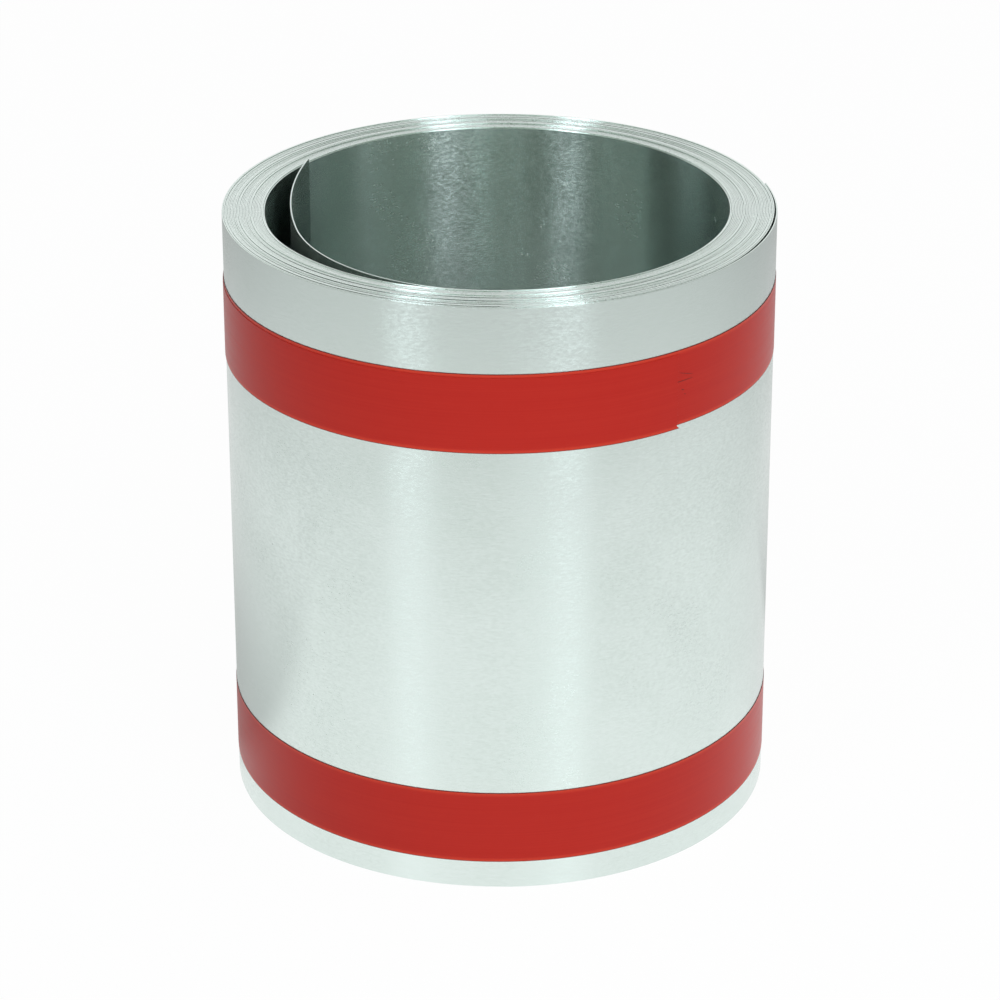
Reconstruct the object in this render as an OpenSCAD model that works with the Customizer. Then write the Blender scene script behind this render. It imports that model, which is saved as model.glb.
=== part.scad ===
// Roll of galvanised valley flashing, standing on its end: one strip of sheet steel wound into a coil,
// with a loose inner tail and a free outer end, held shut by two bands of adhesive tape.
// Millimetres, +Z up, origin at the centre of the lower end. Directions are degrees seen from above.

/* [Strip] */
// Width of the strip, which is the height of the roll
strip_w = 203.2; // [100:0.1:610]
// Length of the strip
strip_len = 15240; // [3000:10:30480]
// Thickness of the sheet
sheet_t = 0.40; // [0.25:0.01:0.8]
// Rounding of the sheet's long edges
edge_round = 0.04; // [0.02:0.005:0.1]

/* [Winding] */
// Diameter of the bore
bore_d = 150; // [90:1:300]
// Mean gap between two turns
turn_gap = 0.116; // [0.05:0.002:0.3]
// Depth of the line between two turns on each end
turn_line_depth = 0.4; // [0.2:0.05:1]

/* [Outer end] */
// Direction of the strip's free outer end
end_angle = 13; // [-180:1:180]
// Gap under the outer end
end_gap = 0.5; // [0.25:0.05:1.5]

/* [Inner tail] */
// Direction in which the tail leaves the bore wall
tail_angle = -100; // [-180:1:180]
// How much tighter than the bore the tail curls at first, on the radius
tail_curl = 11; // [6:0.5:20]
// How far round the tight stretch runs, in degrees
tail_sweep = 68; // [45:1:90]
// How much flatter the tail's last stretch is than its tight one, on the radius
tail_relax = 78; // [50:1:150]
// How far the tail's corner stands above the end of the roll
tail_rise = 2; // [0.5:0.1:6]
// Clearance between the tail's tip and the bore wall
tip_clear = 0.3; // [0.1:0.05:2]

/* [Tape] */
// Width of the tape
tape_w = 25.4; // [12:0.1:40]
// Thickness of the tape
tape_t = 0.15; // [0.1:0.01:0.3]
// Thickness of the adhesive between the tape and the metal
glue_t = 0.03; // [0.02:0.005:0.06]
// Length over which the tape comes down past the strip's outer end
tape_bridge = 10; // [5:0.5:15]
// Distance of the upper band below the upper end
upper_drop = 21.8; // [3:0.1:35]
// Direction of the upper tape's cut end
upper_end_angle = -52; // [-180:0.5:180]
// How far the upper tape laps over its own start, in degrees
upper_overlap = 190; // [10:1:300]
// How far the lap of the upper tape lies below its first turn
upper_slip = 1.2; // [0:0.1:4]
// Height of the lower band above the lower end
lower_rise = 9.5; // [3:0.1:35]
// Direction of the lower tape's cut end
lower_end_angle = 105; // [-180:0.5:180]
// How far the lower tape laps over its own start, in degrees
lower_overlap = 30; // [10:1:300]

/* [Hidden] */
$fn = 240;

// Step left where a sheet runs out into the wall that it joins
feather = 0.06;
// Width of a slot at its blind end
blunt_gap = 0.15;

// Winding: the strip's length at the pitch of its turns fills the ring between bore and outside
bore_r = bore_d / 2;
pitch = sheet_t + turn_gap;
coil_r = sqrt(bore_r * bore_r + strip_len * pitch / PI);
turns = round((coil_r - bore_r) / pitch);
turn_t = (coil_r - bore_r) / turns;
turn_line_w = turn_gap + 2 * edge_round;

// Outer end: the last half turn lies on a circle shifted towards the end, so it lifts off the coil
end_step = sheet_t + end_gap;
lap_r = coil_r + end_step / 2;
lap_sweep = acos(2 * feather / end_step - 1);
slot_sweep = acos(2 * (sheet_t + blunt_gap) / end_step - 1);
// Turn past the end that carries a cut clear of the metal
past_end = 5;

// Inner tail, in its own frame: it leaves the bore wall at direction 0 and runs clockwise
tight_r = bore_r - tail_curl;
flat_r = tight_r + tail_relax;
tight_c = [tail_curl, 0];
flat_c = tight_c - tail_relax * dir(-tail_sweep);
tail_start = acos(1 - feather / tail_curl);
tail_root = acos(1 - (sheet_t + blunt_gap) / tail_curl);
// The flat stretch ends where its outer face reaches the bore wall, less the clearance
flat_reach = norm(flat_c);
tip_r = bore_r - tip_clear;
tip_turn = acos((pow(flat_reach, 2) + pow(flat_r + sheet_t, 2) - tip_r * tip_r)
    / (2 * flat_reach * (flat_r + sheet_t)));
tip_angle = atan2(-flat_c.y, -flat_c.x) - tip_turn;
tip_point = flat_c + (flat_r + sheet_t) * dir(tip_angle);
// Turn after which the two stretches, which touch where they meet, are a feather apart
tail_jog = sqrt(2 * feather / (1 / tight_r - 1 / flat_r)) / flat_r * 180 / PI;
root_point = tight_c + tight_r * dir(-tail_root);
tail_chord = tip_point - root_point;

function dir(angle) = [cos(angle), sin(angle)];

// Centre radius of the line between two turns
function line_r(i) = bore_r + i * turn_t;

// Pie slice about the origin, from one direction counterclockwise to another
module slice(from, to, reach) {
    steps = ceil((to - from) / 50);
    polygon([[0, 0], for (i = [0 : steps]) reach * dir(from + (to - from) * i / steps)]);
}

// The wound turns as one turned ring, with a fine line between each two turns on both ends
module coil() {
    half = turn_line_w / 2;
    deep = turn_line_depth;
    rotate_extrude()
        polygon([
            [bore_r, 0],
            for (i = [1 : turns - 1])
                each [[line_r(i) - half, 0], [line_r(i), deep], [line_r(i) + half, 0]],
            [coil_r, 0],
            [coil_r, strip_w],
            for (i = [turns - 1 : -1 : 1])
                each [
                    [line_r(i) + half, strip_w],
                    [line_r(i), strip_w - deep],
                    [line_r(i) - half, strip_w]
                ],
            [bore_r, strip_w]
        ]);
}

// Plan of a disc on the circle of the last half turn, over a sweep that stops at the strip's end
module lap_disc(radius, sweep, past) {
    intersection() {
        translate(end_step / 2 * dir(end_angle)) circle(radius);
        slice(end_angle - sweep, end_angle + past, 2 * radius);
    }
}

// The last half turn, with the slot that opens under the free outer end
module outer_end() {
    linear_extrude(strip_w)
        difference() {
            lap_disc(lap_r, lap_sweep, 0);
            circle(coil_r - sheet_t / 2);
            lap_disc(lap_r - sheet_t, slot_sweep, past_end);
        }
}

// Plan of all that lies inside one face of the tail: the tight stretch's disc, then the flatter one's
module tail_side(grow) {
    translate(tight_c) circle(tight_r + grow);
    translate(flat_c)
        intersection() {
            circle(flat_r + grow);
            slice(tip_angle - past_end, -tail_sweep - tail_jog, 2 * flat_r);
        }
}

// Plan of the tail: a root in the bore wall, then the sheet between its two faces, up to the tip
module tail_plan() {
    intersection() {
        difference() {
            union() {
                tail_side(sheet_t);
                slice(-tail_root, past_end, 2 * bore_r);
            }
            tail_side(0);
        }
        circle(bore_r + sheet_t / 2);
        slice(atan2(tip_point.y, tip_point.x), -tail_start, 2 * bore_r);
    }
}

// The loose inner tail: the strip's own width, tilted so that its free corner rises above the roll
module inner_tail() {
    tilt = atan(tail_rise / norm(tail_chord));
    rotate([0, 0, tail_angle])
        intersection() {
            linear_extrude(strip_w + 2 * tail_rise) tail_plan();
            translate([root_point.x, root_point.y, 0])
                rotate([0, -tilt, atan2(tail_chord.y, tail_chord.x)])
                    translate([-2 * bore_r, -2 * bore_r, 0])
                        cube([4 * bore_r, 4 * bore_r, strip_w]);
        }
}

module roll() {
    color([0.80, 0.84, 0.82])
        union() {
            coil();
            outer_end();
            inner_tail();
        }
}

// Plan of the roll's outside, grown by a thickness, with a straight run down past the strip's end
module outside_plan(grow) {
    low_r = coil_r + grow;
    circle(low_r);
    lap_disc(lap_r + grow, lap_sweep, 0);
    polygon([
        [0, 0],
        coil_r * dir(end_angle - past_end),
        (low_r + end_step) * dir(end_angle),
        (low_r - feather) * dir(end_angle + tape_bridge / low_r * 180 / PI)
    ]);
}

// Plan of one layer of tape, counted from the metal
module tape_plan(layer) {
    inner = glue_t + layer * tape_t;
    difference() {
        outside_plan(inner + tape_t);
        outside_plan(inner);
    }
}

// One length of tape once round the roll and on over its own start, up to its cut end
module tape_band(cut_angle, overlap, slip) {
    color([0.72, 0.17, 0.13])
        union() {
            linear_extrude(tape_w) tape_plan(0);
            translate([0, 0, -slip])
                linear_extrude(tape_w)
                    intersection() {
                        tape_plan(1);
                        slice(cut_angle - overlap, cut_angle, 2 * lap_r);
                    }
        }
}

module upper_tape_band() {
    translate([0, 0, strip_w - upper_drop - tape_w])
        tape_band(upper_end_angle, upper_overlap, upper_slip);
}

module lower_tape_band() {
    translate([0, 0, lower_rise]) tape_band(lower_end_angle, lower_overlap, 0);
}

roll();
upper_tape_band();
lower_tape_band();
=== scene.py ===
"""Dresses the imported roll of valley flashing: the wound strip, its two tape bands and a plain studio."""

import math

import bmesh
import bpy
from bpy.props import FloatProperty, FloatVectorProperty, IntProperty, IntVectorProperty, PointerProperty
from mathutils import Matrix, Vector


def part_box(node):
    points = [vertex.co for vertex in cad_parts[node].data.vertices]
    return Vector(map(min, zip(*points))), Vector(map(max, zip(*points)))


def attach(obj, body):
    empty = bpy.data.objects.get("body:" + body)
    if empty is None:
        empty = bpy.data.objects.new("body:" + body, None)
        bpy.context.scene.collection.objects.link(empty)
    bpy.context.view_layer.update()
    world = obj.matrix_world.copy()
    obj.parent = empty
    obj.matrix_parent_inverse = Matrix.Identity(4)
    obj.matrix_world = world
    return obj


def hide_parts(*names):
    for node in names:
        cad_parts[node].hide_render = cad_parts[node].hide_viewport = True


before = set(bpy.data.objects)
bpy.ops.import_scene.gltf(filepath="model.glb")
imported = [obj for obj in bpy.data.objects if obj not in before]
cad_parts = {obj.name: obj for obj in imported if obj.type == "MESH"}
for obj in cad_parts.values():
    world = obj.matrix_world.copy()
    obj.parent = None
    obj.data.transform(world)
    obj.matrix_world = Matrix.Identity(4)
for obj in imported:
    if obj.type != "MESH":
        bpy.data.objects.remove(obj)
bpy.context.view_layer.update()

bl_info = {
    "name": "Flashing Roll",
    "version": (1, 0, 0),
    "blender": (4, 5, 0),
    "location": "View3D > Sidebar > Flashing Roll",
    "description": "Winds a roll of galvanised valley flashing, tapes it shut and sets up its studio",
    "category": "Object",
}

MM = 0.001
ROLL_LOW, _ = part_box("roll")
UPPER_LOW, UPPER_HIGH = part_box("upper_tape_band")
LOWER_LOW, LOWER_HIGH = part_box("lower_tape_band")

FRONT = math.radians(270)
BACK = math.radians(90)
FULL_TURN = math.radians(360)
HALF_TURN = math.radians(180)
UP = (0, 0, 1)
WHITE = (1, 1, 1)

# Windows of direction: turn to either side within which an effect is full, and beyond which it is nil
LOOSE_WINDOW = (math.radians(30), math.radians(75))
SIDE_WINDOW = (math.radians(6), math.radians(24))
LEFT_WINDOW = (math.radians(15), math.radians(45))
POCKET_WINDOW = (math.radians(10), math.radians(42))
# Turns over which the gap at the side dies away
SIDE_GAP_TURNS = 16
# Waves that set how far each turn's edge stands up: radians to a turn, and where the slow one starts
QUICK_WAVE = 2.4
SLOW_WAVE = 0.7
SLOW_WAVE_START = 1.3
# Segments in the tail: on the bore wall, in its tight stretch and in its flat one
WALL_STEPS = 6
TIGHT_STEPS = 34
FLAT_STEPS = 18
# A sheet's faces are smooth up to the first angle, and its edges are rounded beyond the second
SMOOTH_ANGLE = math.radians(40)
ROUNDED_ANGLE = math.radians(60)
# A face that leans this far up or down belongs to a slit edge
EDGE_LEAN = 0.3

# Wrinkles in the upper tape: each end's direction in degrees and height in mm, then half the width in mm
WRINKLES = (
    (-53.3, 170.7, -47.8, 170.7, 0.14),
    (-51.5, 173.7, -47.9, 171.9, 0.13),
    (-50.9, 167.8, -50.2, 167.5, 0.22),
    (-50.2, 166.1, -49.7, 165.8, 0.16),
)

# Level streaks: cells of noise to the metre, along the strip and across it
GRAIN_CELLS = (220, 1700)
SCRATCH_CELLS = (650, 1600)
FLECK_CELLS = (420, 1300)
DRAW_LINE_CELLS = (12, 1900)
# Middle of a noise, which holds nearly all of its values
NOISE_MIDDLE = (0.3, 0.7)
ZINC_ROUGHNESS = (0.17, 0.255)
EDGE_ROUGHNESS = (0.25, 0.35)
FILM_ROUGHNESS = (0.28, 0.36)
FLECK_DEPTH = 0.014 * MM
BURR_DEPTH = 0.004 * MM
DRAW_LINE_DEPTH = 0.01 * MM
DUST = (0.1, 0.11, 0.1)
# Bounds of the tape's light rim and of its painted shadow line at the very edges, as shares of half its
# width
FILM_RIM = (0.87, 0.96)
FILM_PAINTED_SHADOW = (0.975, 0.99)

# Softboxes: name, bearing in degrees to the right of the camera's side, width, share of the full power
SOFTBOXES = (
    ("left_softbox", -37, 0.46, 1.0),
    ("right_softbox", 28.5, 0.46, 1.0),
    ("fill_softbox", 13, 0.36, 0.2),
)
BOX_DISTANCE = 1.6
BOX_LEVEL = 1.15
BOX_TALL = 1.3
AIM_LEVEL = 0.1
# Brightness of the floor as metal shows it, as painted shade in its glow: far off, under the roll, behind
# it and close behind its left
FAR_SHADE = 0.56
UNDER_SHADE = 0.3
BACK_SHADE = 0.86
BESIDE_SHADE = 0.62
# Direction behind the left of the roll, where the floor close by carries painted shade
BESIDE_LEAN = (-0.5, 1, 0)
# Brightness of the room as metal shows it: overhead, and behind the roll where no white part lies
CEILING_SHADE = 0.03
AFT_SHADE = 0.6
ROOM_TINT = (0.80, 1.0, 0.78)


class StripSettings(bpy.types.PropertyGroup):
    """Sizes of the wound strip of sheet steel"""

    width: FloatProperty(
        name="Strip width", description="Width of the strip, which is the height of the roll",
        default=203.2 * MM, unit="LENGTH")
    thickness: FloatProperty(
        name="Sheet thickness", description="Thickness of the sheet",
        default=0.44 * MM, precision=5, unit="LENGTH")
    edge_bevel: FloatProperty(
        name="Edge bevel", description="Rounding of the sheet's cut edges",
        default=0.09 * MM, precision=5, unit="LENGTH")
    coil_radius: FloatProperty(
        name="Outer radius", description="Radius of the roll over its last whole turn",
        default=-ROLL_LOW.x, unit="LENGTH")
    bore_radius: FloatProperty(
        name="Bore radius", description="Radius of the open bore", default=75 * MM, unit="LENGTH")
    turns: IntProperty(name="Turns", description="Whole turns from the outside to the bore", default=29)
    loose_gap: FloatProperty(
        name="Loose gap", description="Extra room under a turn that was wound slackly",
        default=0.35 * MM, precision=5, unit="LENGTH")
    front_loose: IntVectorProperty(
        name="Loose at the front", description="Turns, from the outside, that stand off at the front",
        size=4, default=(2, 5, 10, 15))
    back_loose: IntVectorProperty(
        name="Loose at the back", description="Turns, from the outside, that stand off at the back",
        size=3, default=(6, 13, 20))
    side_gap: FloatProperty(
        name="Side gap", description="Gap under the outermost turn, at the right of the front",
        default=0.33 * MM, precision=5, unit="LENGTH")
    side_gap_angle: FloatProperty(
        name="Side gap direction", description="Direction in which that gap is widest",
        default=math.radians(-15), unit="ROTATION")
    left_squeeze: FloatProperty(
        name="Left squeeze", description="How far the inner turns are pressed outwards at the left",
        default=0.7 * MM, precision=5, unit="LENGTH")
    pocket_squeeze: FloatProperty(
        name="Pocket squeeze",
        description="How far the inner turns are pressed outwards beside the tail",
        default=1.2 * MM, precision=5, unit="LENGTH")
    pocket_angle: FloatProperty(
        name="Pocket direction",
        description="Direction in which the turns beside the tail are pressed most",
        default=math.radians(221), unit="ROTATION")
    stagger: FloatProperty(
        name="Stagger", description="How unevenly the turns' edges stand on each end",
        default=0.12 * MM, precision=5, unit="LENGTH")
    end_angle: FloatProperty(
        name="Outer end", description="Direction of the strip's free outer end",
        default=math.radians(13), unit="ROTATION")
    end_gap: FloatProperty(
        name="End gap", description="Gap under the strip's outer end",
        default=0.35 * MM, precision=5, unit="LENGTH")
    tail_angle: FloatProperty(
        name="Tail start", description="Direction in which the inner tail leaves the bore wall",
        default=math.radians(260), unit="ROTATION")
    tail_curl: FloatProperty(
        name="Tail curl", description="How much tighter than the bore the tail curls, on the radius",
        default=11 * MM, unit="LENGTH")
    tail_sweep: FloatProperty(
        name="Tail sweep", description="How far round the tail's tight stretch runs",
        default=math.radians(68), unit="ROTATION")
    tail_relax: FloatProperty(
        name="Tail relax", description="How much flatter the tail's last stretch is, on the radius",
        default=78 * MM, unit="LENGTH")
    tail_flat_sweep: FloatProperty(
        name="Tail end sweep", description="How far round the tail's flat stretch runs",
        default=math.radians(25.7), unit="ROTATION")
    tail_rise: FloatProperty(
        name="Tail rise", description="How far the tail's corner stands above the roll",
        default=2 * MM, unit="LENGTH")
    steps: IntProperty(
        name="Steps", description="Segments in half a turn", default=72)


class TapeSettings(bpy.types.PropertyGroup):
    """Sizes of the two tape bands"""

    width: FloatProperty(
        name="Tape width", description="Width of the tape",
        default=LOWER_HIGH.z - LOWER_LOW.z, unit="LENGTH")
    thickness: FloatProperty(
        name="Tape thickness", description="Thickness of the tape",
        default=0.15 * MM, precision=5, unit="LENGTH")
    glue: FloatProperty(
        name="Adhesive", description="Thickness of the adhesive under the tape",
        default=0.03 * MM, precision=5, unit="LENGTH")
    bridge: FloatProperty(
        name="Bridge", description="Turn over which the tape comes down past the strip's outer end",
        default=math.radians(6.4), unit="ROTATION")
    upper_top: FloatProperty(
        name="Upper band", description="Height of the upper band's top edge",
        default=UPPER_HIGH.z, unit="LENGTH")
    upper_cut: FloatProperty(
        name="Upper cut end", description="Direction of the upper tape's cut end",
        default=math.radians(308), unit="ROTATION")
    upper_overlap: FloatProperty(
        name="Upper overlap", description="How far the upper tape laps over its own start",
        default=math.radians(190), unit="ROTATION")
    upper_slip: FloatProperty(
        name="Upper slip", description="How far the lap of the upper tape lies below its first turn",
        default=UPPER_HIGH.z - UPPER_LOW.z - (LOWER_HIGH.z - LOWER_LOW.z), precision=5, unit="LENGTH")
    lower_top: FloatProperty(
        name="Lower band", description="Height of the lower band's top edge",
        default=LOWER_HIGH.z, unit="LENGTH")
    lower_cut: FloatProperty(
        name="Lower cut end", description="Direction of the lower tape's cut end",
        default=math.radians(105), unit="ROTATION")
    lower_overlap: FloatProperty(
        name="Lower overlap", description="How far the lower tape laps over its own start",
        default=math.radians(30), unit="ROTATION")
    teeth: IntProperty(
        name="Cutter teeth", description="Teeth that the cutter left across the tape's end", default=12)
    tooth_depth: FloatProperty(
        name="Tooth depth", description="Depth of the teeth on the tape's cut end",
        default=0.35 * MM, precision=5, unit="LENGTH")
    wrinkle_height: FloatProperty(
        name="Wrinkle height",
        description="How far the wrinkles beside the cut end stand up from the tape",
        default=0.06 * MM, precision=5, unit="LENGTH")
    torn_corner: FloatProperty(
        name="Torn corner", description="How far the lower corner of the cut end is drawn out",
        default=1.1 * MM, precision=5, unit="LENGTH")


class FinishSettings(bpy.types.PropertyGroup):
    """Colours of the finishes"""

    zinc: FloatVectorProperty(
        name="Zinc", description="Colour of the galvanised face", subtype="COLOR",
        default=(0.766, 0.852, 0.822))
    zinc_dull: FloatVectorProperty(
        name="Dull zinc", description="Colour of the grain's darker streaks", subtype="COLOR",
        default=(0.725, 0.820, 0.780))
    slit_steel: FloatVectorProperty(
        name="Slit steel", description="Colour of the strip's slit edges", subtype="COLOR",
        default=(0.820, 0.900, 0.865))
    film: FloatVectorProperty(
        name="Tape film", description="Colour of the tape", subtype="COLOR",
        default=(0.450, 0.0095, 0.004))
    film_light: FloatVectorProperty(
        name="Light film", description="Colour of the thin film just inside the tape's edges",
        subtype="COLOR", default=(0.620, 0.045, 0.018))
    # Painted shadow: the dark line along the tape's very edges, and painted shade in its creases
    film_painted_shade: FloatVectorProperty(
        name="Dark film", description="Colour of the tape's very edges and of its creases",
        subtype="COLOR", default=(0.180, 0.012, 0.008))


class StudioSettings(bpy.types.PropertyGroup):
    """Camera, light and floor"""

    camera_place: FloatVectorProperty(
        name="Camera", description="Place of the camera", size=3,
        default=(0.0031, -1.1868, 0.6452), subtype="TRANSLATION")
    camera_tilt: FloatProperty(
        name="Tilt", description="Turn of the camera up from straight down",
        default=math.radians(65.224), unit="ROTATION")
    lens: FloatProperty(name="Lens", description="Focal length in millimetres", default=139.72)
    shift: FloatProperty(name="Shift", description="Sideways shift of the picture", default=-0.00847)
    room_light: FloatProperty(
        name="Room light", description="Brightness of the room on dull surfaces", default=0.43)
    room_lean: FloatProperty(
        name="Room lean", description="How much more of the room's light comes from the right",
        default=0.9)
    front_shade: FloatProperty(
        name="Front shade", description="Brightness of the room behind the camera, as metal shows it",
        default=0.63)
    side_shade: FloatProperty(
        name="Side shade", description="Brightness of the room at either side, as metal shows it",
        default=0.75)
    box_power: FloatProperty(
        name="Softbox power", description="Power of a softbox with a full share",
        default=11.6, subtype="POWER")
    box_colour: FloatVectorProperty(
        name="Softbox colour", description="Colour of the light of each softbox", subtype="COLOR",
        default=(0.870, 0.940, 1.000))
    floor_glow: FloatProperty(
        name="Floor glow", description="Share of the floor that shows as plain white", default=0.97)
    floor_edge: FloatProperty(
        name="Floor edge",
        description="Distance at which the white floor starts to fade, as metal shows it",
        default=0.32, unit="LENGTH")


def settings():
    """Settings of the strip and of the tape."""
    return bpy.context.scene.flashing_roll_strip, bpy.context.scene.flashing_roll_tape


def finishes():
    return bpy.context.scene.flashing_roll_finish


def around(centre, radius, angle):
    """Point at an angle on a circle that lies flat."""
    return Vector((centre[0] + radius * math.cos(angle), centre[1] + radius * math.sin(angle), 0))


class Winding:
    """The circles that the strip's outer face follows, worked out from the settings."""

    def __init__(self, strip):
        self.pitch = (strip.coil_radius - strip.bore_radius - strip.thickness) / strip.turns
        self.front = [strip.coil_radius - self.pitch * turn for turn in range(strip.turns + 1)]
        self.back = [radius - self.pitch / 2 for radius in self.front]
        self.left_centre, self.left_radius = self.left_arc(0)
        self.under_centre, self.under_radius = self.right_arc(0)
        # The last stretch touches the left arc at the front and lifts off towards the strip's end
        under = around(self.under_centre, self.under_radius, strip.end_angle).length
        lift = under + strip.thickness + strip.end_gap - self.front[0]
        offset = lift / (1 + math.sin(strip.end_angle))
        self.last_centre = (0, offset)
        self.last_radius = self.front[0] + offset

    def left_arc(self, turn):
        """Centre and radius of the half turn from the front round the left to the back."""
        front, back = self.front[turn], self.back[turn]
        return (0, (back - front) / 2), (back + front) / 2

    def right_arc(self, turn):
        """Centre and radius of the half turn from the back round the right to the front."""
        front, back = self.front[turn + 1], self.back[turn]
        return (0, (back - front) / 2), (back + front) / 2

    def slack(self, strip, turn, loose):
        """How far a turn moves out where the turns below it that were wound slackly stand off."""
        if not 0 < turn < strip.turns:
            return 0
        shrink = strip.loose_gap * len(loose) / strip.turns
        return turn * shrink - strip.loose_gap * sum(turn > other for other in loose)

    def loosen(self, strip, point):
        """Shift of a point of the evenly wound strip that opens the loose gaps."""
        angle = math.atan2(point.y, point.x)
        wound = (self.front[0] - point.xy.length) / self.pitch
        shift = 0
        # Each turn starts at the front, so it is half wound at the back and three quarters at the right
        for centre, part, loose in ((FRONT, 0, strip.front_loose), (BACK, 0.5, strip.back_loose)):
            share = window(angle - centre, *LOOSE_WINDOW)
            shift += share * self.slack(strip, round(wound - part), tuple(loose))
        below = round(wound - 0.75 + strip.side_gap_angle / FULL_TURN)
        if 0 <= below < SIDE_GAP_TURNS:
            share = window(angle - strip.side_gap_angle, *SIDE_WINDOW)
            shift -= strip.side_gap * share * (1 - below / SIDE_GAP_TURNS)
        left = strip.left_squeeze * window(angle - HALF_TURN, *LEFT_WINDOW)
        pocket = strip.pocket_squeeze * window(angle - strip.pocket_angle, *POCKET_WINDOW)
        return shift + (left + pocket) * max(0, wound) / strip.turns


def window(turned, full, none):
    """Smooth share that is 1 near a direction and 0 away from it."""
    away = abs(math.remainder(turned, FULL_TURN))
    share = max(0, min(1, (none - away) / (none - full)))
    return share * share * (3 - 2 * share)


def start_upright_edge(name, foot, low, high, cuts):
    """New object in edit mode that is one upright edge, cut into pieces and selected."""
    bpy.ops.object.select_all(action="DESELECT")
    height = high - low
    bpy.ops.mesh.primitive_plane_add(
        size=height, location=(foot.x - height / 2, foot.y, (low + high) / 2),
        rotation=(math.radians(90), 0, 0))
    piece = bpy.context.active_object
    piece.name = piece.data.name = name
    bpy.ops.object.transform_apply(location=True, rotation=True, scale=True)
    bpy.ops.object.mode_set(mode="EDIT")
    bpy.ops.mesh.select_mode(type="VERT")
    mesh = bmesh.from_edit_mesh(piece.data)
    middle = foot.x - height / 2
    for vertex in mesh.verts:
        vertex.select_set(vertex.co.x < middle)
    mesh.select_flush_mode()
    bmesh.update_edit_mesh(piece.data)
    bpy.ops.mesh.delete(type="VERT")
    bpy.ops.mesh.select_all(action="SELECT")
    if cuts > 1:
        bpy.ops.mesh.subdivide(number_cuts=cuts - 1)
    bpy.ops.mesh.select_all(action="SELECT")
    mesh = bmesh.from_edit_mesh(piece.data)
    across = mesh.verts.layers.float.new("across")
    for vertex in mesh.verts:
        vertex[across] = (vertex.co.z - low) / height
    bmesh.update_edit_mesh(piece.data)
    return piece


def spin(centre, angle, steps):
    """Sweeps the selected upright edge about a centre, counterclockwise seen from above."""
    bpy.ops.mesh.spin(
        steps=max(1, steps), angle=-angle, center=(centre[0], centre[1], 0), axis=UP,
        use_auto_merge=False)


def draw_on(shift):
    """Extrudes the selected upright edge straight on."""
    bpy.ops.mesh.extrude_region_move(TRANSFORM_OT_translate={"value": tuple(shift)})


def move(shift):
    """Moves what is selected."""
    bpy.ops.transform.translate(value=tuple(shift))


def leading_foot(piece):
    """Lowest point of the selected upright edge."""
    mesh = bmesh.from_edit_mesh(piece.data)
    return min((v.co.copy() for v in mesh.verts if v.select), key=lambda point: point.z)


def face_outwards(piece):
    """Turns an open wrapped sheet's faces away from the roll's axis."""
    bpy.ops.mesh.select_all(action="SELECT")
    bpy.ops.mesh.normals_make_consistent(inside=False)
    mesh = bmesh.from_edit_mesh(piece.data)
    outward = sum(
        face.normal.dot(Vector((*face.calc_center_median().xy, 0)).normalized()) for face in mesh.faces)
    if outward < 0:
        bpy.ops.mesh.flip_normals()


def thicken(piece, thickness, offset, bevel, segments):
    """Gives an open sheet its thickness and rounds its cut edges, leaving its faces flat."""
    bpy.ops.object.select_all(action="DESELECT")
    piece.select_set(True)
    bpy.context.view_layer.objects.active = piece
    wall = piece.modifiers.new("Sheet", "SOLIDIFY")
    wall.thickness = thickness
    wall.offset = offset
    bpy.ops.object.modifier_apply(modifier=wall.name)
    bpy.ops.object.shade_smooth_by_angle(angle=SMOOTH_ANGLE)
    rounding = piece.modifiers.new("Rounded edges", "BEVEL")
    rounding.width = bevel
    rounding.segments = segments
    rounding.limit_method = "ANGLE"
    rounding.angle_limit = ROUNDED_ANGLE
    rounding.harden_normals = True
    bpy.ops.object.modifier_apply(modifier=rounding.name)


def wind_turns(strip, winding):
    """Winds the strip from its outer end in to the bore, half a turn at a time."""
    share = (strip.end_angle + FULL_TURN - FRONT) / HALF_TURN
    spin(winding.last_centre, -share * HALF_TURN, round(share * strip.steps))
    height = 0.0
    for turn in range(strip.turns):
        quick = 1 + math.sin(QUICK_WAVE * turn)
        slow = 0.5 + 0.5 * math.sin(SLOW_WAVE * turn + SLOW_WAVE_START)
        target = strip.stagger * quick * slow
        move((0, 0, target - height))
        height = target
        centre, _ = winding.left_arc(turn)
        spin(centre, -HALF_TURN, strip.steps)
        centre, _ = winding.right_arc(turn)
        spin(centre, -HALF_TURN, strip.steps)
    move((0, 0, -height))


def open_gaps(piece, strip, winding):
    """Moves the wound turns apart where they were wound slackly."""
    mesh = bmesh.from_edit_mesh(piece.data)
    for vertex in mesh.verts:
        outward = Vector((*vertex.co.xy, 0)).normalized()
        vertex.co += outward * winding.loosen(strip, vertex.co)
    bmesh.update_edit_mesh(piece.data)


def wind_tail(strip, piece):
    """Carries the strip on from the bore wall into its loose inner tail."""
    spin((0, 0), strip.tail_angle - FRONT, WALL_STEPS)
    tight_centre = around((0, 0), strip.tail_curl, strip.tail_angle)
    flat_start = strip.tail_angle - strip.tail_sweep
    flat_centre = around(tight_centre, -strip.tail_relax, flat_start)
    tight_radius = strip.bore_radius - strip.tail_curl + strip.thickness
    flat_radius = tight_radius + strip.tail_relax
    root = leading_foot(piece)
    tip = around(flat_centre, flat_radius, flat_start - strip.tail_flat_sweep)
    chord = Vector((tip.x - root.x, tip.y - root.y, 0))
    slope = strip.tail_rise / chord.length_squared
    tight = (tight_centre, strip.tail_sweep, TIGHT_STEPS)
    flat = (flat_centre, strip.tail_flat_sweep, FLAT_STEPS)
    for centre, sweep, steps in (tight, flat):
        for _ in range(steps):
            before = leading_foot(piece)
            spin(centre, -sweep / steps, 1)
            onward = leading_foot(piece) - before
            move((0, 0, max(0, onward.xy.dot(chord.xy)) * slope))


def mark_cut_edges(piece, slot):
    """Gives the faces along the strip's top and bottom edges their own finish."""
    for polygon in piece.data.polygons:
        if abs(polygon.normal.z) > EDGE_LEAN:
            polygon.material_index = slot


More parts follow.
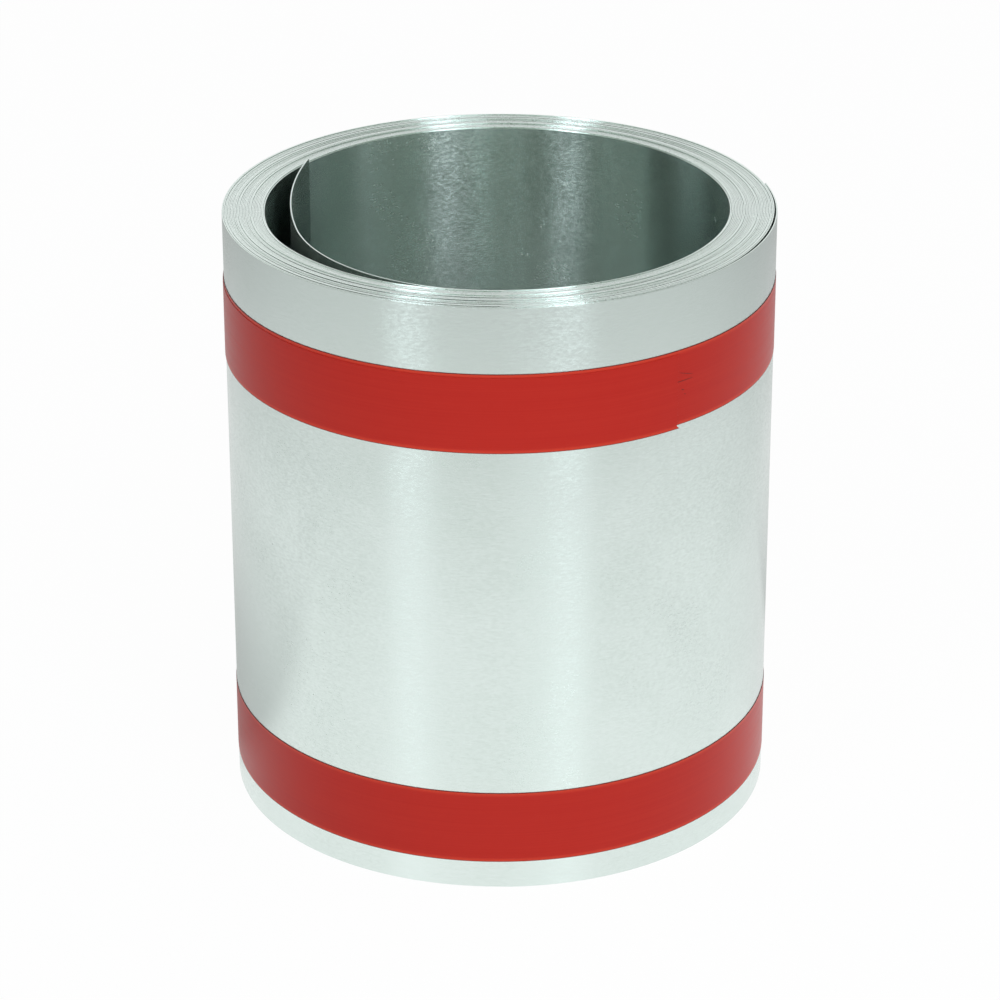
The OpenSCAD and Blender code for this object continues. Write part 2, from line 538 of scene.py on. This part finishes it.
class FLASHING_OT_wound_strip(bpy.types.Operator):
    """Wind the strip of galvanised sheet into a roll with a loose inner tail"""

    bl_idname = "flashing.wound_strip"
    bl_label = "Wound Strip"

    def execute(self, context):
        strip, _ = settings()
        winding = Winding(strip)
        foot = around(winding.last_centre, winding.last_radius, strip.end_angle)
        piece = start_upright_edge("wound_strip", foot, 0, strip.width, 1)
        wind_turns(strip, winding)
        open_gaps(piece, strip, winding)
        wind_tail(strip, piece)
        face_outwards(piece)
        bpy.ops.object.mode_set(mode="OBJECT")
        thicken(piece, strip.thickness, -1, strip.edge_bevel, 3)
        piece.data.materials.append(galvanised_face())
        piece.data.materials.append(slit_edge())
        mark_cut_edges(piece, 1)
        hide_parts("roll")
        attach(piece, "root")
        return {"FINISHED"}


class TapeWalk:
    """Lays tape counterclockwise round the roll, over the strip's outer end and over its own start."""

    STEP = math.radians(2.5)
    CHUNK = math.radians(10)
    CLIMB = math.radians(1)
    BRIDGE_STEPS = 3
    LAP_GLUE = 0.02 * MM
    # Share of the tape's width at which its film is still plain
    PLAIN_FILM = 0.93
    # Angle within which two directions count as the same
    SLIGHT = 1e-6
    # Angle that takes up rounding at the end of an arc
    ROUNDING = 1e-9

    def __init__(self, piece, strip, tape, winding, start):
        self.piece, self.strip, self.tape, self.winding = piece, strip, tape, winding
        self.angle = start
        self.lift = tape.glue

    def centre(self, angle):
        """Centre of the circle that the metal follows at an angle, and the angle where it ends."""
        landing = self.strip.end_angle + self.tape.bridge
        base = math.floor((angle - landing + self.ROUNDING) / FULL_TURN) * FULL_TURN
        local = angle - base + self.ROUNDING
        if local < BACK:
            return self.winding.under_centre, base + BACK
        if local < FRONT:
            return self.winding.left_centre, base + FRONT
        return self.winding.last_centre, base + FULL_TURN + self.strip.end_angle

    def lay(self, until, drop=0.0):
        """Sweeps the tape on to an angle, sinking by drop on the way."""
        total = until - self.angle
        while until - self.angle > self.SLIGHT:
            centre, stop = self.centre(self.angle)
            stop = min(stop, until, self.angle + self.CHUNK)
            turn = stop - self.angle
            spin(centre, turn, max(1, round(turn / self.STEP)))
            move((0, 0, -drop * turn / total))
            self.angle = stop
            at_end = abs((self.angle - self.strip.end_angle) % FULL_TURN) < self.SLIGHT
            if at_end and until - self.angle > self.SLIGHT:
                self.step_down()

    def step_down(self):
        """Carries the tape straight from the strip's outer end down to the turn below."""
        landing = self.strip.end_angle + self.tape.bridge
        target = around(self.winding.under_centre, self.winding.under_radius + self.lift, landing)
        foot = leading_foot(self.piece)
        shift = Vector((target.x - foot.x, target.y - foot.y, 0))
        for _ in range(self.BRIDGE_STEPS):
            draw_on(shift / self.BRIDGE_STEPS)
        self.angle += self.tape.bridge

    def climb(self):
        """Steps the tape up over its own start."""
        layer = self.tape.thickness + self.LAP_GLUE
        self.lift += layer
        centre, _ = self.centre(self.angle)
        foot = leading_foot(self.piece)
        radius = Vector((foot.x - centre[0], foot.y - centre[1], 0)).length
        target = around(centre, radius + layer, self.angle + self.CLIMB)
        draw_on((target.x - foot.x, target.y - foot.y, 0))
        self.angle += self.CLIMB
        self.soften_top()

    def soften_top(self):
        """Marks the lap's upper edge, which lies on tape, as plain film, with neither the light rim nor
        the painted edge shadow.
        """
        mesh = bmesh.from_edit_mesh(self.piece.data)
        across = mesh.verts.layers.float["across"]
        for vertex in mesh.verts:
            if vertex.select:
                vertex[across] = min(vertex[across], self.PLAIN_FILM)
        bmesh.update_edit_mesh(self.piece.data)


def cut_end(piece, tape):
    """Leaves a toothed cutter's marks on the tape's selected end, and a drawn-out lower corner."""
    mesh = bmesh.from_edit_mesh(piece.data)
    ends = sorted((v for v in mesh.verts if v.select), key=lambda v: v.co.z)
    for number, vertex in enumerate(ends):
        outward = Vector((*vertex.co.xy, 0)).normalized()
        onward = Vector(UP).cross(outward)
        reach = tape.tooth_depth * (1 - number % 2)
        if number == 0:
            reach = tape.torn_corner
        vertex.co += onward * reach
    bmesh.update_edit_mesh(piece.data)


def lay_tape(name, top, cut, overlap, slip):
    """One length of tape, once round the roll and on over its start to its cut end."""
    strip, tape = settings()
    winding = Winding(strip)
    start = cut - overlap
    centre, radius = winding.left_centre, winding.left_radius
    if start < BACK:
        centre, radius = winding.under_centre, winding.under_radius
    foot = around(centre, radius + tape.glue, start)
    piece = start_upright_edge(name, foot, top - tape.width, top, 2 * tape.teeth)
    walk = TapeWalk(piece, strip, tape, winding, start)
    walk.lay(strip.end_angle + FULL_TURN + tape.bridge)
    walk.lay(start + FULL_TURN, slip)
    walk.climb()
    walk.lay(cut + FULL_TURN)
    cut_end(piece, tape)
    face_outwards(piece)
    bpy.ops.object.mode_set(mode="OBJECT")
    thicken(piece, tape.thickness, 1, tape.thickness / 4, 1)
    piece.data.materials.append(tape_film(name))
    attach(piece, "root")
    return piece


def raise_wrinkle(start, end, half_width, film):
    """Closed sliver of film that stands up from the tape; each end is a direction and a height."""
    strip, tape = settings()
    winding = Winding(strip)
    surface = winding.last_radius + tape.glue + tape.thickness
    bpy.ops.object.select_all(action="DESELECT")
    bpy.ops.mesh.primitive_uv_sphere_add(segments=6, ring_count=10)
    piece = bpy.context.active_object
    bpy.ops.object.mode_set(mode="EDIT")
    mesh = bmesh.from_edit_mesh(piece.data)
    for vertex in mesh.verts:
        across, out, along = vertex.co
        angle, level = Vector(start).lerp(Vector(end), (1 + along) / 2)
        place = around(winding.last_centre, surface + out * tape.wrinkle_height, angle)
        vertex.co = (place.x, place.y, level + across * half_width)
    bmesh.update_edit_mesh(piece.data)
    bpy.ops.object.mode_set(mode="OBJECT")
    piece.data.materials.append(film)
    return piece


def wrinkle_tape(piece, wrinkles):
    """Joins wrinkles to a tape; the wrinkles are coloured dark, as painted shade in the folds."""
    film = piece.data.materials[0]
    slivers = [
        raise_wrinkle((math.radians(first), low * MM), (math.radians(last), high * MM), half * MM, film)
        for first, low, last, high, half in wrinkles]
    bpy.ops.object.select_all(action="DESELECT")
    for sliver in slivers:
        sliver.select_set(True)
    piece.select_set(True)
    bpy.context.view_layer.objects.active = piece
    bpy.ops.object.join()


class FLASHING_OT_tape_bands(bpy.types.Operator):
    """Lay the two bands of tape that hold the roll shut"""

    bl_idname = "flashing.tape_bands"
    bl_label = "Tape Bands"

    def execute(self, context):
        _, tape = settings()
        upper = lay_tape(
            "upper_tape", tape.upper_top, tape.upper_cut, tape.upper_overlap, tape.upper_slip)
        wrinkle_tape(upper, WRINKLES)
        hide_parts("upper_tape_band")
        lower = lay_tape("lower_tape", tape.lower_top, tape.lower_cut, tape.lower_overlap, 0)
        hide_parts("lower_tape_band")
        return {"FINISHED"}


def add_node(tree, kind, place, **values):
    """New node, with its settings and unlinked sockets given by name."""
    node = tree.nodes.new(kind)
    node.location = place
    for name, value in values.items():
        if hasattr(node, name):
            setattr(node, name, value)
        else:
            node.inputs[name.replace("_", " ").title()].default_value = value
    return node


def streak_group():
    """Shared effect: streaks that run round the roll, from noise drawn out level."""
    name = "Level Streaks"
    if name in bpy.data.node_groups:
        return bpy.data.node_groups[name]
    tree = bpy.data.node_groups.new(name, "ShaderNodeTree")
    sockets = tree.interface
    sockets.new_socket("Vector", in_out="INPUT", socket_type="NodeSocketVector")
    sockets.new_socket("Along", in_out="INPUT", socket_type="NodeSocketFloat").default_value = 20
    sockets.new_socket("Across", in_out="INPUT", socket_type="NodeSocketFloat").default_value = 1500
    sockets.new_socket("Streak", in_out="OUTPUT", socket_type="NodeSocketFloat")
    entry = add_node(tree, "NodeGroupInput", (-600, 0))
    stretch = add_node(tree, "ShaderNodeCombineXYZ", (-400, -120))
    drawn = add_node(tree, "ShaderNodeVectorMath", (-200, 0), operation="MULTIPLY")
    noise = add_node(tree, "ShaderNodeTexNoise", (0, 0), Scale=1.0, Detail=5.0, Roughness=0.65)
    leave = add_node(tree, "NodeGroupOutput", (200, 0))
    links = tree.links
    links.new(entry.outputs["Along"], stretch.inputs["X"])
    links.new(entry.outputs["Along"], stretch.inputs["Y"])
    links.new(entry.outputs["Across"], stretch.inputs["Z"])
    links.new(entry.outputs["Vector"], drawn.inputs[0])
    links.new(stretch.outputs["Vector"], drawn.inputs[1])
    links.new(drawn.outputs["Vector"], noise.inputs["Vector"])
    links.new(noise.outputs["Fac"], leave.inputs["Streak"])
    return tree


def new_material(name):
    """New material, its nodes and its shader."""
    material = bpy.data.materials.new(name)
    material.use_nodes = True
    tree = material.node_tree
    return material, tree, tree.nodes["Principled BSDF"]


def place_streaks(tree, place, vector, cells):
    """Level streaks with so many cells to the metre along and across."""
    node = tree.nodes.new("ShaderNodeGroup")
    node.node_tree = streak_group()
    node.location = place
    node.inputs["Along"].default_value, node.inputs["Across"].default_value = cells
    tree.links.new(vector, node.inputs["Vector"])
    return node.outputs["Streak"]


def remap(tree, value, place, given, wanted):
    """Value carried from one range over to another, and held at its ends."""
    node = add_node(tree, "ShaderNodeMapRange", place)
    for name, number in zip(("From Min", "From Max", "To Min", "To Max"), (*given, *wanted)):
        node.inputs[name].default_value = number
    tree.links.new(value, node.inputs["Value"])
    return node.outputs["Result"]


def smooth_remap(tree, value, place, given, wanted):
    """Like remap, but with a soft start and end."""
    result = remap(tree, value, place, given, wanted)
    result.node.interpolation_type = "SMOOTHSTEP"
    return result


def combine(tree, place, operation, first, second):
    """Two values put together by a math node."""
    node = add_node(tree, "ShaderNodeMath", place, operation=operation)
    tree.links.new(first, node.inputs[0])
    tree.links.new(second, node.inputs[1])
    return node.outputs[0]


def largest(tree, place, first, second):
    return combine(tree, place, "MAXIMUM", first, second)


def product(tree, place, first, second):
    return combine(tree, place, "MULTIPLY", first, second)


def sum_of(tree, place, first, second):
    return combine(tree, place, "ADD", first, second)


def mix_colours(tree, place, factor, first, second):
    """Colour mixed from two, each a plain colour or a socket."""
    node = add_node(tree, "ShaderNodeMix", place, data_type="RGBA")
    tree.links.new(factor, node.inputs["Factor"])
    sockets = [socket for socket in node.inputs if socket.type == "RGBA"]
    for socket, colour in zip(sockets, (first, second)):
        if isinstance(colour, bpy.types.NodeSocket):
            tree.links.new(colour, socket)
        else:
            socket.default_value = (*colour, 1)
    return [socket for socket in node.outputs if socket.type == "RGBA"][0]


def bumped(tree, place, height, shader, distance, strength):
    """Roughens a shader's surface by a height."""
    bump = add_node(tree, "ShaderNodeBump", place, Distance=distance, Strength=strength)
    tree.links.new(height, bump.inputs["Height"])
    tree.links.new(bump.outputs["Normal"], shader.inputs["Normal"])


def galvanised_face():
    """Mill-galvanised sheet: pale satin zinc with level grain, fine flecks, clouds and a few specks."""
    material, tree, shader = new_material("galvanised_face")
    place = add_node(tree, "ShaderNodeTexCoord", (-1400, 0)).outputs["Object"]
    grain = place_streaks(tree, (-1100, 200), place, GRAIN_CELLS)
    scratch = place_streaks(tree, (-1100, 0), place, SCRATCH_CELLS)
    clouds = add_node(tree, "ShaderNodeTexNoise", (-1100, -200), Scale=26.0, Detail=3.0)
    tree.links.new(place, clouds.inputs["Vector"])
    specks = add_node(tree, "ShaderNodeTexVoronoi", (-1100, -450), Scale=55.0)
    tree.links.new(place, specks.inputs["Vector"])
    streak = remap(tree, grain, (-850, 300), NOISE_MIDDLE, (0, 0.7))
    cloud = remap(tree, clouds.outputs["Fac"], (-850, 120), (0.35, 0.75), (0, 0.35))
    dullness = sum_of(tree, (-700, 250), streak, cloud)
    zinc = mix_colours(tree, (-550, 250), dullness, finishes().zinc, finishes().zinc_dull)
    dust = remap(tree, specks.outputs["Distance"], (-850, -450), (0.008, 0.014), (0.8, 0))
    shown = mix_colours(tree, (-300, 250), dust, zinc, DUST)
    tree.links.new(shown, shader.inputs["Base Color"])
    satin = remap(tree, scratch, (-850, -50), (0.38, 0.62), ZINC_ROUGHNESS)
    haze = remap(tree, clouds.outputs["Fac"], (-850, -250), NOISE_MIDDLE, (-0.02, 0.03))
    tree.links.new(sum_of(tree, (-300, 0), satin, haze), shader.inputs["Roughness"])
    flecks = place_streaks(tree, (-1100, -700), place, FLECK_CELLS)
    raised = remap(tree, flecks, (-850, -700), (0.5, 0.7), (0, 1))
    bumped(tree, (-300, -250), raised, shader, FLECK_DEPTH, 0.6)
    shader.inputs["Metallic"].default_value = 1
    shader.inputs["Anisotropic"].default_value = 0.97
    shader.inputs["Anisotropic Rotation"].default_value = 0.25
    return material


def slit_edge():
    """The strip's slit edge: bright bare steel, roughened by the slitter."""
    material, tree, shader = new_material("slit_edge")
    place = add_node(tree, "ShaderNodeTexCoord", (-1000, 0)).outputs["Object"]
    burr = add_node(tree, "ShaderNodeTexNoise", (-750, 0), Scale=900.0, Detail=4.0)
    tree.links.new(place, burr.inputs["Vector"])
    tone = remap(tree, burr.outputs["Fac"], (-500, 150), NOISE_MIDDLE, (0, 1))
    steel = mix_colours(tree, (-250, 200), tone, finishes().slit_steel, finishes().zinc)
    tree.links.new(steel, shader.inputs["Base Color"])
    satin = remap(tree, burr.outputs["Fac"], (-500, -50), NOISE_MIDDLE, EDGE_ROUGHNESS)
    tree.links.new(satin, shader.inputs["Roughness"])
    bumped(tree, (-250, -200), burr.outputs["Fac"], shader, BURR_DEPTH, 0.4)
    shader.inputs["Metallic"].default_value = 1
    return material


def tape_film(name):
    """Red adhesive film: fine level draw lines, a thinner, lighter strip along each edge, and painted
    shadow: a dark line at each very edge and over the wrinkles.
    """
    material, tree, shader = new_material(name + "_film")
    place = add_node(tree, "ShaderNodeTexCoord", (-1400, 0)).outputs["Object"]
    lines = place_streaks(tree, (-1100, 200), place, DRAW_LINE_CELLS)
    across = add_node(tree, "ShaderNodeAttribute", (-1100, -100), attribute_name="across")
    height = remap(tree, across.outputs["Fac"], (-850, -100), (0, 1), (-1, 1))
    size = add_node(tree, "ShaderNodeMath", (-650, -100), operation="ABSOLUTE")
    tree.links.new(height, size.inputs[0])
    rim = remap(tree, size.outputs[0], (-450, -50), FILM_RIM, (0, 0.8))
    # Painted shadow: a dark line along the tape's very edges where it meets the metal, which also covers
    # the wrinkles
    painted_shadow = remap(tree, size.outputs[0], (-450, -250), FILM_PAINTED_SHADOW, (0, 1))
    drawn = remap(tree, lines, (-850, 200), NOISE_MIDDLE, (0.0, 0.2))
    light = largest(tree, (-250, 0), drawn, rim)
    colour = mix_colours(tree, (-50, 200), light, finishes().film, finishes().film_light)
    colour = mix_colours(tree, (150, 200), painted_shadow, colour, finishes().film_painted_shade)
    tree.links.new(colour, shader.inputs["Base Color"])
    satin = remap(tree, lines, (-450, -450), NOISE_MIDDLE, FILM_ROUGHNESS)
    tree.links.new(satin, shader.inputs["Roughness"])
    bumped(tree, (150, -300), lines, shader, DRAW_LINE_DEPTH, 0.25)
    shader.inputs["Specular IOR Level"].default_value = 0.25
    shader.location = (400, 200)
    return material


def floor_finish(studio):
    """Pale floor: white with a soft shadow to the camera; to metal a glowing white sheet with painted
    shade: a dim edge and dark patches about the roll.
    """
    material = bpy.data.materials.new("studio_floor")
    material.use_nodes = True
    tree = material.node_tree
    tree.nodes.clear()
    path = add_node(tree, "ShaderNodeLightPath", (-1000, 300))
    seen = largest(tree, (-800, 300), path.outputs["Is Camera Ray"], path.outputs["Is Transmission Ray"])
    white = largest(tree, (-600, 300), seen, path.outputs["Is Glossy Ray"])
    share = add_node(tree, "ShaderNodeMath", (-400, 300), operation="MULTIPLY")
    share.inputs[1].default_value = studio.floor_glow
    tree.links.new(white, share.inputs[0])
    place = add_node(tree, "ShaderNodeTexCoord", (-1200, -100)).outputs["Object"]
    reach = add_node(tree, "ShaderNodeVectorMath", (-1000, -100), operation="LENGTH")
    tree.links.new(place, reach.inputs[0])
    # Painted shade in the floor's glow to metal: dimmer far off, under the roll and behind it, above all
    # close behind its left
    far = smooth_remap(
        tree, reach.outputs["Value"], (-800, -100), (studio.floor_edge, studio.floor_edge * 2),
        (1, FAR_SHADE))
    # Painted shadow of the roll on the floor under it
    outside = remap(tree, reach.outputs["Value"], (-800, 100), (0.082, 0.088), (UNDER_SHADE, 1))
    near = product(tree, (-600, 0), far, outside)
    heading = add_node(tree, "ShaderNodeVectorMath", (-1000, -300), operation="NORMALIZE")
    tree.links.new(place, heading.inputs[0])
    split = add_node(tree, "ShaderNodeSeparateXYZ", (-800, -300))
    tree.links.new(heading.outputs["Vector"], split.inputs["Vector"])
    back = smooth_remap(tree, split.outputs["Y"], (-600, -300), (-0.3, 0.65), (1.0, BACK_SHADE))
    lean = add_node(tree, "ShaderNodeVectorMath", (-1000, -500), operation="DOT_PRODUCT")
    tree.links.new(place, lean.inputs[0])
    lean.inputs[1].default_value = BESIDE_LEAN
    # Painted shade on the floor close behind the roll's left
    away = smooth_remap(tree, lean.outputs["Value"], (-800, -500), (0.03, 0.11), (1, 0))
    beside = smooth_remap(tree, reach.outputs["Value"], (-800, -700), (0.12, 0.3), (BESIDE_SHADE, 1))
    dusk = product(tree, (-500, -400), back, largest(tree, (-600, -600), away, beside))
    shown = product(tree, (-400, -100), near, dusk)
    level = add_node(tree, "ShaderNodeMix", (-200, -100), data_type="FLOAT")
    tree.links.new(seen, level.inputs["Factor"])
    tree.links.new(shown, level.inputs["A"])
    level.inputs["B"].default_value = 1
    matt = add_node(tree, "ShaderNodeBsdfDiffuse", (0, 0), Color=(0.9, 0.9, 0.9, 1))
    glow = add_node(tree, "ShaderNodeEmission", (0, -150), Color=(*WHITE, 1))
    tree.links.new(level.outputs["Result"], glow.inputs["Strength"])
    blend = add_node(tree, "ShaderNodeMixShader", (250, 100))
    leave = add_node(tree, "ShaderNodeOutputMaterial", (450, 100))
    tree.links.new(share.outputs[0], blend.inputs[0])
    tree.links.new(matt.outputs[0], blend.inputs[1])
    tree.links.new(glow.outputs[0], blend.inputs[2])
    tree.links.new(blend.outputs[0], leave.inputs["Surface"])
    return material


def light_room(studio):
    """World: white to the camera; as light a pale room, dimmer behind the camera and at the sides."""
    world = bpy.data.worlds.new("studio_room")
    bpy.context.scene.world = world
    world.use_nodes = True
    tree = world.node_tree
    tree.nodes.clear()
    path = add_node(tree, "ShaderNodeLightPath", (-900, 400))
    heading = add_node(tree, "ShaderNodeTexCoord", (-1300, 0)).outputs["Generated"]
    split = add_node(tree, "ShaderNodeSeparateXYZ", (-1100, 0))
    tree.links.new(heading, split.inputs["Vector"])
    square = product(tree, (-1100, -200), split.outputs["X"], split.outputs["X"])
    # White parts: the backdrop, a low wall all round, and a wing at either side
    behind = smooth_remap(tree, split.outputs["Y"], (-1000, 100), (0.3, 0.8), (0, 1))
    centred = smooth_remap(tree, square, (-1000, -100), (0.1, 0.32), (1, 0.15))
    backdrop = product(tree, (-850, 50), behind, centred)
    low = smooth_remap(tree, split.outputs["Z"], (-1000, 300), (0.0, 0.2), (1, 0))
    wing_width = smooth_remap(tree, square, (-1000, -300), (0.45, 0.75), (0, 0.6))
    wing_height = smooth_remap(tree, split.outputs["Z"], (-1000, -500), (0.25, 0.45), (1, 0))
    wings = product(tree, (-850, -350), wing_width, wing_height)
    white_part = largest(tree, (-700, 0), largest(tree, (-850, 200), backdrop, low), wings)
    room = remap(tree, white_part, (-700, 150), (0, 1), (studio.front_shade, 1))
    ceiling = smooth_remap(tree, split.outputs["Z"], (-1000, 500), (0.58, 0.82), (1, CEILING_SHADE))
    aft = smooth_remap(tree, split.outputs["Y"], (-1000, 650), (-0.45, 0.0), (1, AFT_SHADE))
    shade = product(tree, (-850, 500), largest(tree, (-950, 600), aft, white_part), ceiling)
    pale = product(tree, (-550, 200), room, shade)
    tint = mix_colours(tree, (-400, 350), white_part, ROOM_TINT, WHITE)
    aside = remap(tree, square, (-600, -150), (0, 1), (1, studio.side_shade))
    shown = product(tree, (-400, 0), pale, aside)
    lean = remap(
        tree, split.outputs["X"], (-600, 250), (-1, 1),
        (studio.room_light * (1 - studio.room_lean), studio.room_light * (1 + studio.room_lean)))
    metal = add_node(tree, "ShaderNodeBackground", (-200, 0))
    tree.links.new(tint, metal.inputs["Color"])
    tree.links.new(shown, metal.inputs["Strength"])
    matt = add_node(tree, "ShaderNodeBackground", (-200, 150), Color=(*WHITE, 1))
    tree.links.new(lean, matt.inputs["Strength"])
    white = add_node(tree, "ShaderNodeBackground", (-200, -150), Color=(*WHITE, 1), Strength=1.0)
    by_metal = add_node(tree, "ShaderNodeMixShader", (0, 100))
    by_camera = add_node(tree, "ShaderNodeMixShader", (200, 100))
    leave = add_node(tree, "ShaderNodeOutputWorld", (400, 100))
    seen = largest(tree, (-600, 400), path.outputs["Is Camera Ray"], path.outputs["Is Transmission Ray"])
    tree.links.new(path.outputs["Is Glossy Ray"], by_metal.inputs[0])
    tree.links.new(matt.outputs[0], by_metal.inputs[1])
    tree.links.new(metal.outputs[0], by_metal.inputs[2])
    tree.links.new(seen, by_camera.inputs[0])
    tree.links.new(by_metal.outputs[0], by_camera.inputs[1])
    tree.links.new(white.outputs[0], by_camera.inputs[2])
    tree.links.new(by_camera.outputs[0], leave.inputs["Surface"])


def add_softbox(name, bearing, width, power, colour):
    """Upright area light at a bearing from the camera's side of the roll, aimed at the roll."""
    turned = math.radians(bearing)
    place = Vector((BOX_DISTANCE * math.sin(turned), -BOX_DISTANCE * math.cos(turned), BOX_LEVEL))
    bpy.ops.object.light_add(type="AREA", location=place)
    lamp = bpy.context.active_object
    lamp.name = name
    aim = Vector((0, 0, AIM_LEVEL)) - place
    lamp.rotation_euler = aim.to_track_quat("-Z", "Y").to_euler()
    lamp.data.shape = "RECTANGLE"
    lamp.data.size, lamp.data.size_y = width, BOX_TALL
    lamp.data.energy = power
    lamp.data.color = colour


class FLASHING_OT_stage(bpy.types.Operator):
    """Set up the floor, the light and the camera"""

    bl_idname = "flashing.stage"
    bl_label = "Stage"

    def execute(self, context):
        studio = context.scene.flashing_roll_studio
        bpy.ops.object.select_all(action="DESELECT")
        bpy.ops.mesh.primitive_plane_add(size=30)
        floor = context.active_object
        floor.name = "studio_floor"
        floor.data.materials.append(floor_finish(studio))
        light_room(studio)
        for name, bearing, width, share in SOFTBOXES:
            add_softbox(name, bearing, width, studio.box_power * share, studio.box_colour)
        bpy.ops.object.camera_add(location=studio.camera_place, rotation=(studio.camera_tilt, 0, 0))
        camera = context.active_object
        camera.data.lens = studio.lens
        camera.data.sensor_width = 36
        camera.data.shift_x = studio.shift
        camera.data.clip_start = 0.05
        camera.data.clip_end = 100
        context.scene.camera = camera
        context.scene.view_settings.view_transform = "Standard"
        return {"FINISHED"}


class FLASHING_PT_panel(bpy.types.Panel):
    """Sidebar panel with the roll's settings and its operators"""

    bl_idname = "FLASHING_PT_panel"
    bl_label = "Flashing Roll"
    bl_space_type = "VIEW_3D"
    bl_region_type = "UI"
    bl_category = "Flashing Roll"

    def draw(self, context):
        for name in SETTINGS:
            box = self.layout.box()
            group = getattr(context.scene, name)
            for item in group.bl_rna.properties:
                if item.identifier not in ("rna_type", "name"):
                    box.prop(group, item.identifier)
        for operator in OPERATORS:
            self.layout.operator(operator.bl_idname)


SETTINGS = {
    "flashing_roll_strip": StripSettings,
    "flashing_roll_tape": TapeSettings,
    "flashing_roll_finish": FinishSettings,
    "flashing_roll_studio": StudioSettings,
}
OPERATORS = (FLASHING_OT_wound_strip, FLASHING_OT_tape_bands, FLASHING_OT_stage)
CLASSES = (*SETTINGS.values(), *OPERATORS, FLASHING_PT_panel)


def register():
    for item in CLASSES:
        bpy.utils.register_class(item)
    for name, group in SETTINGS.items():
        setattr(bpy.types.Scene, name, PointerProperty(type=group))


def unregister():
    for name in SETTINGS:
        delattr(bpy.types.Scene, name)
    for item in reversed(CLASSES):
        bpy.utils.unregister_class(item)


def main():
    register()
    bpy.ops.flashing.wound_strip()
    bpy.ops.flashing.tape_bands()
    bpy.ops.flashing.stage()


if __name__ == "__main__":
    main()
